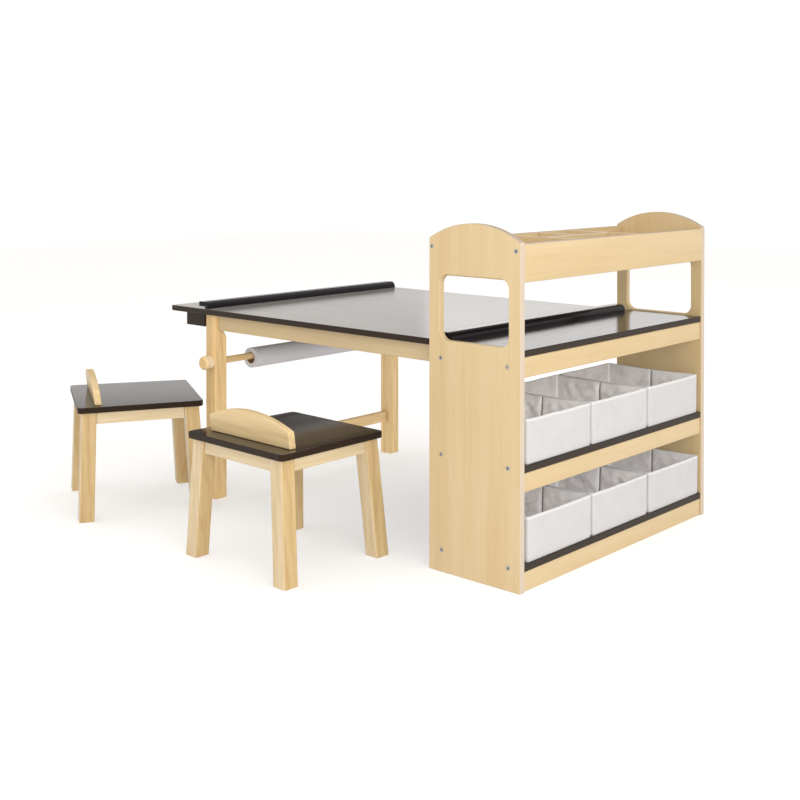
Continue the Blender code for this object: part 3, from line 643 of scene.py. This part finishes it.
class Bin:
    """One soft bin: outer shell, hemmed rim, creased lining and a floor, in one closed mesh."""

    def __init__(self, node, seed, slack, white_fold):
        self.node = node
        self.seed = seed
        self.slack = slack
        self.white_fold = white_fold
        self.low, self.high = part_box(node)
        self.width = self.high.y - self.low.y
        self.depth = self.high.x - self.low.x
        self.height = self.high.z - self.low.z
        self.walk = stations(self.width, self.depth)

    def rim_drop(self, station):
        """How far the rim sags below the bin's full height."""
        if station.kind == "corner":
            return 0.0
        lobe = 1.0 - (2.0 * station.place - 1.0) ** 2
        place = Vector((station.place * 6.0, station.side * 3.1, self.seed))
        ripple = noise.noise(place) * RIM_RIPPLE
        return lobe * (RIM_SAG[station.side] * (0.7 + 0.5 * self.slack) + ripple * self.slack)

    def bulge(self, station, share):
        """Outward bow of the shell between its corners."""
        if station.kind == "corner":
            return -CORNER_TUCK * (1.0 - share)
        lobe = math.sin(math.pi * station.place) * math.sin(math.pi * min(1.0, 0.12 + share))
        cloud = noise.noise(Vector((station.place * 3.3, share * 1.9,
                                    self.seed + station.side * 7.0)))
        return lobe * (WALL_BOW[station.side] + WALL_CLOUD * cloud * self.slack)

    def outer_point(self, station, share):
        """Point of the shell's outer face."""
        point, out = plan_point(station, self.low, self.high, 0.0)
        foot = FOOT_TUCK * max(0.0, 1.0 - share * 14.0)
        point = point + out * (self.bulge(station, share) - foot)
        point.z = self.low.z + (self.height - self.rim_drop(station)) * share
        return point

    def inner_point(self, station, share):
        """Point of the lining."""
        point, out = plan_point(station, self.low, self.high, BIN_WALL)
        point = point + out * (self.bulge(station, share) - self.wrinkle(station, share))
        floor_z = self.low.z + LINING_LIFT
        top_z = self.low.z + self.height - self.rim_drop(station)
        point.z = floor_z + (top_z - floor_z) * share
        return point

    def wrinkle(self, station, share):
        """Inward stand of the loose lining; nothing at the rim and at the corners."""
        if station.kind == "corner":
            return 0.0
        side, place = station.side, station.place
        length = self.depth if is_folded(side) else self.width
        u = place * length
        v = share * self.height
        hold = min(1.0, 6.0 * place, 6.0 * (1.0 - place)) * min(1.0, 5.0 * (1.0 - share))
        loose = crumple(u, v, self.seed + side * 5.3, COARSE_FACETS)
        loose += 0.5 * crumple(u, v, self.seed + side * 9.1, FINE_FACETS)
        soft = 0.5 + 0.5 * noise.noise(Vector((u * 22.0, v * 20.0, self.seed + side)))
        depth = hold * LINING_EASE[side] * self.slack * (FACET_DEPTH * loose + SOFT_DEPTH * soft)
        if is_folded(side):
            from_fold = abs(place - 0.5) * length
            depth *= min(1.0, from_fold / FOLD_EASE)
            if from_fold < FOLD_HALF * 0.5:
                depth = -FOLD_GROOVE
        return depth

    def rim_point(self, station, turn):
        """Rounded edge from the outer face over to the lining, turn from 0 to 1."""
        outside = self.outer_point(station, 1.0)
        inside = self.inner_point(station, 1.0)
        middle = (outside + inside) / 2
        half = (outside - inside) / 2
        angle = math.pi * turn
        radius = BIN_WALL / 2
        return middle + half * math.cos(angle) + Vector((0, 0, radius * math.sin(angle) - radius))

    def rows(self):
        """Loops of points from the foot of the shell over the rim to the foot of the lining."""
        rounding = BIN_WALL / 2 / self.height
        rim_foot = 1.0 - rounding
        foot_top = FOOT_SHARES[-1]
        rise = HEM_SHARE - rounding - foot_top
        shares = list(FOOT_SHARES)
        shares += [foot_top + rise * i / WALL_ROWS for i in range(1, WALL_ROWS + 1)]
        made = [(OUTER, [self.outer_point(st, share) for st in self.walk]) for share in shares]
        made.append((HEM, [self.outer_point(st, rim_foot) for st in self.walk]))
        for i in range(1, RIM_ROWS):
            made.append((HEM, [self.rim_point(st, i / RIM_ROWS) for st in self.walk]))
        made.append((HEM, [self.inner_point(st, rim_foot) for st in self.walk]))
        for i in range(LINING_ROWS + 1):
            share = LINING_SHARE * (1.0 - i / LINING_ROWS)
            made.append((LINING, [self.inner_point(st, share) for st in self.walk]))
        return made

    def floor_rows(self, last):
        """The lining's floor, drawn in ring by ring to the middle."""
        centre = sum(last, Vector()) / len(last)
        made = []
        for ring in range(1, FLOOR_RINGS):
            share = 1.0 - ring / FLOOR_RINGS
            loop = []
            for point in last:
                moved = centre.lerp(point, share)
                lift = noise.noise(Vector((moved.x * 24.0, moved.y * 24.0, self.seed)))
                moved.z = self.low.z + LINING_LIFT + FLOOR_SLACK * self.slack * max(0.0, lift)
                loop.append(moved)
            made.append((LINING, loop))
        return made

    def column_material(self, index, row_material):
        """The lining's white bindings in the rear corners and the line of each fold."""
        if row_material != LINING:
            return row_material
        first = self.walk[index]
        second = self.walk[(index + 1) % len(self.walk)]
        kinds = {first.kind, second.kind}
        if "corner" in kinds and first.side in (FAR, REAR):
            return BINDING_CLOTH
        if kinds != {"wall"} or not is_folded(first.side):
            return row_material
        middle = (first.place + second.place) / 2
        from_fold = abs(middle - 0.5) * (self.depth - 2 * BIN_CORNER)
        if from_fold < FOLD_HALF:
            return FOLD
        behind = middle > 0.5 if first.side == FAR else middle < 0.5
        if self.white_fold and from_fold < FOLD_HALF + BINDING / 2 and behind:
            return BINDING_CLOTH
        return row_material

    def build(self, materials):
        """Skin the rows, close foot and floor, and let the mesh stand in for the CAD bin."""
        bm = bmesh.new()
        rows = self.rows()
        rows += self.floor_rows(rows[-1][1])
        rings = [[bm.verts.new(point) for point in loop] for _, loop in rows]
        count = len(self.walk)
        for level, (low, high) in enumerate(zip(rings, rings[1:])):
            for i in range(count):
                j = (i + 1) % count
                face = bm.faces.new((low[i], low[j], high[j], high[i]))
                face.material_index = self.column_material(i, rows[level + 1][0])
        bottom = bm.faces.new(list(reversed(rings[0])))
        bottom.material_index = OUTER
        middle = bm.faces.new(rings[-1])
        middle.material_index = LINING
        bmesh.ops.remove_doubles(bm, verts=bm.verts, dist=WELD)
        bmesh.ops.recalc_face_normals(bm, faces=bm.faces)
        for face in bm.faces:
            face.smooth = True
        name = self.node + "_fabric"
        obj = put(name, mesh_from(bm, name, materials))
        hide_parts(self.node)
        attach(obj, self.node)


def make_bins():
    """Six bins that differ in how slack their lining is and where it has a white strip."""
    materials = [
        fabric("bin_outer_fabric", FABRIC_WHITE, 0.955, 0.965),
        fabric("bin_hem_fabric", FABRIC_HEM, 0.98, 0.98),
        # the lining: brighter than the outside for painted light inside the bins, with painted shade in
        # its creases
        fabric("bin_lining_fabric", LINING_WITH_PAINTED_LIGHT, 0.86, 0.92, crease_shaded=True),
        fabric("bin_fold_shadow", FOLD_SHADOW, 0.80, 0.90),
        fabric("bin_binding_fabric", FABRIC_BINDING, 0.97, 0.98),
    ]
    plan = (                  # bin, seed of its folds, slack, white strip behind the fold
        ("bin_upper_1", 1.3, 1.25, False), ("bin_upper_2", 4.9, 1.15, False),
        ("bin_upper_3", 7.2, 0.55, True), ("bin_lower_1", 11.6, 0.9, False),
        ("bin_lower_2", 15.4, 1.2, True), ("bin_lower_3", 19.8, 0.6, False),
    )
    for node, seed, slack, white_fold in plan:
        Bin(node, seed, slack, white_fold).build(materials)


# ---------------------------------------------------------------- screws
SCREW_R = 0.0050
SCREW_PROUD = 0.0010
SOCKET_R = 0.0024
SOCKET_DEPTH = 0.0016
SCREW_STEPS = 24
SMOOTH_BANDS = 2          # the head's side and its rounded shoulder
SCREW_SPIN = 0.4          # each head is turned this much further than the one before
SCREW_ROWS = (            # height, distance from the rear edge, distance from the front edge
    (0.716, 0.0083, 0.0110),
    (0.472, 0.0335, 0.0340),
    (0.259, 0.0350, 0.0320),
    (0.049, 0.0365, 0.0310),
)


def round_outline(_, radius):
    """Distance from the middle to a circle, the same at every angle."""
    return radius


def six_sided_outline(angle, radius):
    """Distance from the middle to a hexagon with corners at `radius`."""
    sector = (angle % (math.pi / 3)) - math.pi / 6
    return radius * math.cos(math.pi / 6) / math.cos(sector)


def screw_ring(bm, outline, size, z):
    """Loop of points at one height, on an outline round the screw's axis."""
    ring = []
    for i in range(SCREW_STEPS):
        angle = 2 * math.pi * i / SCREW_STEPS
        radius = outline(angle, size)
        ring.append(bm.verts.new((radius * math.cos(angle), radius * math.sin(angle), z)))
    return ring


def screw_mesh(materials):
    """Low domed head with a six-sided socket, facing +Z, its seat at z = 0."""
    bm = bmesh.new()
    dome = ((SCREW_R, 0.0), (SCREW_R, SCREW_PROUD * 0.45), (SCREW_R * 0.9, SCREW_PROUD * 0.85),
            (SCREW_R * 0.72, SCREW_PROUD))
    rings = [screw_ring(bm, round_outline, radius, z) for radius, z in dome]
    for depth in (0.0, SOCKET_DEPTH):
        rings.append(screw_ring(bm, six_sided_outline, SOCKET_R, SCREW_PROUD - depth))
    socket_wall = len(rings) - 2
    for level, (low, high) in enumerate(zip(rings, rings[1:])):
        for i in range(SCREW_STEPS):
            j = (i + 1) % SCREW_STEPS
            face = bm.faces.new((low[i], low[j], high[j], high[i]))
            # the socket's wall and floor take the painted shade
            face.material_index = 1 if level == socket_wall else 0
            face.smooth = level < SMOOTH_BANDS
    bm.faces.new(list(reversed(rings[0])))
    floor = bm.faces.new(rings[-1])
    floor.material_index = 1
    bmesh.ops.recalc_face_normals(bm, faces=bm.faces)
    return mesh_from(bm, "screw_head", materials)


def make_screws():
    """Eight screw heads on the outer face of each side panel."""
    mesh = screw_mesh([steel("screw_steel", SCREW_STEEL, 0.28, 0.40),
                       steel("screw_socket_shade", SCREW_SOCKET_SHADE, 0.5, 0.6)])
    for panel, facing in (("side_panel_near", -1), ("side_panel_far", 1)):
        low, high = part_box(panel)
        face_y = low.y if facing < 0 else high.y
        turn = Matrix.Rotation(math.radians(-90 * facing), 4, "X")
        places = [(x, z) for z, rear, front in SCREW_ROWS for x in (low.x + rear, high.x - front)]
        for number, (x, z) in enumerate(places, 1):
            obj = put("screw_%s_%d" % (panel.split("_")[-1], number), mesh)
            spin = Matrix.Rotation(SCREW_SPIN * number, 4, "Z")
            obj.matrix_world = Matrix.Translation((x, face_y, z)) @ turn @ spin
            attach(obj, "table_and_shelf")


# ---------------------------------------------------------------- studio
CAMERA_AT = (2.22104, -2.28215, 0.9093)
CAMERA_LOOK = (-0.6731, 0.7394, -0.0128)
CAMERA_LENS = 55.12
CAMERA_SENSOR = 36.0
CAMERA_SHIFT = (0.00755, -0.2822)
CAMERA_CLIP = (0.05, 60.0)

FLOOR_REACH = 9.0
FLOOR_CELLS = 12
FLOOR_DROP = 0.0004      # below the feet, so the two do not share a plane

WORLD_STRENGTH = 1.05
BACKDROP = (1.0, 0.975, 0.955)
DARK_WALL = (0.060, 0.052, 0.048)         # the studio above the backdrop's upper edge
DARK_WALL_SIDE = (-0.72, 0.69, 0.0)
WALL_HEIGHTS = ((0.192, BACKDROP), (0.204, DARK_WALL), (0.520, DARK_WALL), (0.640, BACKDROP))
WALL_SECTOR = ((0.45, BLACK), (0.60, WHITE))

# name, place, what it faces, size, power, casts shadows, shows in glossy tops
LIGHTS = (
    ("key_light", (4.05, -2.55, 1.9), (0.2, 0.0, 0.35), (2.4, 1.8), 68.0, True, False),
    ("fill_light", (4.1, -2.85, 2.2), (0.2, 0.0, 0.35), (2.0, 2.0), 108.0, False, False),
    ("back_light", (-2.4, 5.3, 1.95), (0.6, 0.15, 0.5), (3.0, 1.5), 11.0, True, True),
)


def make_camera():
    """Camera off the near front corner, its image shifted for the framing."""
    data = bpy.data.cameras.new("camera")
    data.lens = CAMERA_LENS
    data.sensor_width = CAMERA_SENSOR
    data.shift_x, data.shift_y = CAMERA_SHIFT
    data.clip_start, data.clip_end = CAMERA_CLIP
    camera = put("camera", data)
    ahead = Vector(CAMERA_LOOK).normalized()
    right = ahead.cross(Vector((0, 0, 1))).normalized()
    up = right.cross(ahead)
    turn = Matrix((right, up, -ahead)).transposed().to_4x4()
    camera.matrix_world = Matrix.Translation(CAMERA_AT) @ turn
    bpy.context.scene.camera = camera


def make_light(name, at, target, size, power, shadow, mirrored):
    """A soft studio panel, itself unseen."""
    data = bpy.data.lights.new(name, "AREA")
    data.shape = "RECTANGLE"
    data.size, data.size_y = size
    data.energy = power
    data.use_shadow = shadow
    light = put(name, data)
    light.visible_camera = False
    light.visible_glossy = mirrored
    light.location = at
    light.rotation_mode = "QUATERNION"
    light.rotation_quaternion = (Vector(target) - Vector(at)).to_track_quat("-Z", "Y")


def make_floor():
    """Wide flat floor of square cells."""
    bm = bmesh.new()
    places = [-FLOOR_REACH + 2 * FLOOR_REACH / FLOOR_CELLS * i for i in range(FLOOR_CELLS + 1)]
    rows = [[bm.verts.new((x, y, -FLOOR_DROP)) for y in places] for x in places]
    for a, b in zip(rows, rows[1:]):
        for i in range(FLOOR_CELLS):
            bm.faces.new((a[i], b[i], b[i + 1], a[i + 1]))
    put("studio_floor", mesh_from(bm, "studio_floor", [floor_paint("floor_paint")]))


def make_world():
    """White backdrop all round, with a dark stretch of studio above it behind the table."""
    world = bpy.data.worlds.new("studio_white")
    world.use_nodes = True
    tree = world.node_tree
    background = tree.nodes["Background"]
    background.inputs["Strength"].default_value = WORLD_STRENGTH
    source = tree.nodes.new("ShaderNodeTexCoord")
    split = tree.nodes.new("ShaderNodeSeparateXYZ")
    height = tree.nodes.new("ShaderNodeValToRGB")
    facing = tree.nodes.new("ShaderNodeVectorMath")
    sector = tree.nodes.new("ShaderNodeValToRGB")
    mixed = tree.nodes.new("ShaderNodeMix")
    mixed.data_type = "RGBA"
    mixed.inputs[MIX_FIRST].default_value = (*BACKDROP, 1.0)
    fill_ramp(height, WALL_HEIGHTS)
    facing.operation = "DOT_PRODUCT"
    facing.inputs[1].default_value = DARK_WALL_SIDE
    fill_ramp(sector, WALL_SECTOR)
    tree.links.new(source.outputs["Generated"], split.inputs[0])
    tree.links.new(source.outputs["Generated"], facing.inputs[0])
    tree.links.new(split.outputs["Z"], height.inputs["Fac"])
    tree.links.new(facing.outputs["Value"], sector.inputs["Fac"])
    tree.links.new(sector.outputs["Color"], mixed.inputs[MIX_FACTOR])
    tree.links.new(height.outputs["Color"], mixed.inputs[MIX_SECOND])
    tree.links.new(mixed.outputs[MIX_RESULT], background.inputs["Color"])
    bpy.context.scene.world = world


def make_studio():
    """Floor, world and lights."""
    make_floor()
    make_world()
    bpy.context.scene.view_settings.view_transform = "Standard"
    for light in LIGHTS:
        make_light(*light)


# ---------------------------------------------------------------- the scene
make_camera()
paint_boards()
paint_dark_boards()
paint_table_birch()
paint_stools()
paint_roll()
make_bins()
make_screws()
make_studio()
